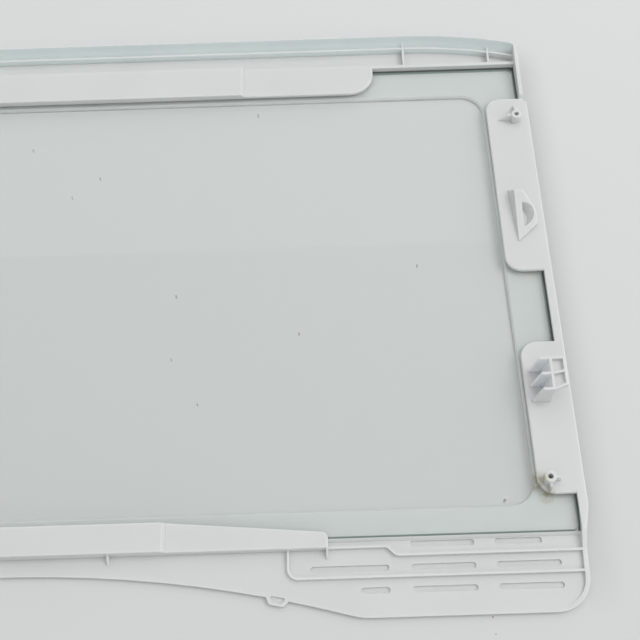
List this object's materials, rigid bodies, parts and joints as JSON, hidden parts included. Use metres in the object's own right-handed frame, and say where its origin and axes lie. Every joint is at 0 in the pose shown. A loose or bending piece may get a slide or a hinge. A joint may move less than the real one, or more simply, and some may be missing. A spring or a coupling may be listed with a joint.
{
  "type": "refrigerator shelf",
  "caption": "Wide glass refrigerator shelf in a white moulded frame, lying underside up, with a hollow bowed front trim, lapping strips and plates, screw bosses, stops and a ribbed rear deck.",
  "frame": {"origin": "centre of the shelf's outline, on the plane of its top rim, which it lies on", "axes": "+X along the width, +Y towards the bowed front trim, +Z out of the underside; in use the shelf is turned over, with +Z down"},
  "size_m": [0.7, 0.432, 0.028],
  "materials": {
    "frame_plastic": "satin moulded white",
    "shelf_glass": "clear float glass with ground edges"
  },
  "bodies": {
    "root": {"frame": "frame_plastic", "glass_pane": "shelf_glass"}
  },
  "joints": []
}
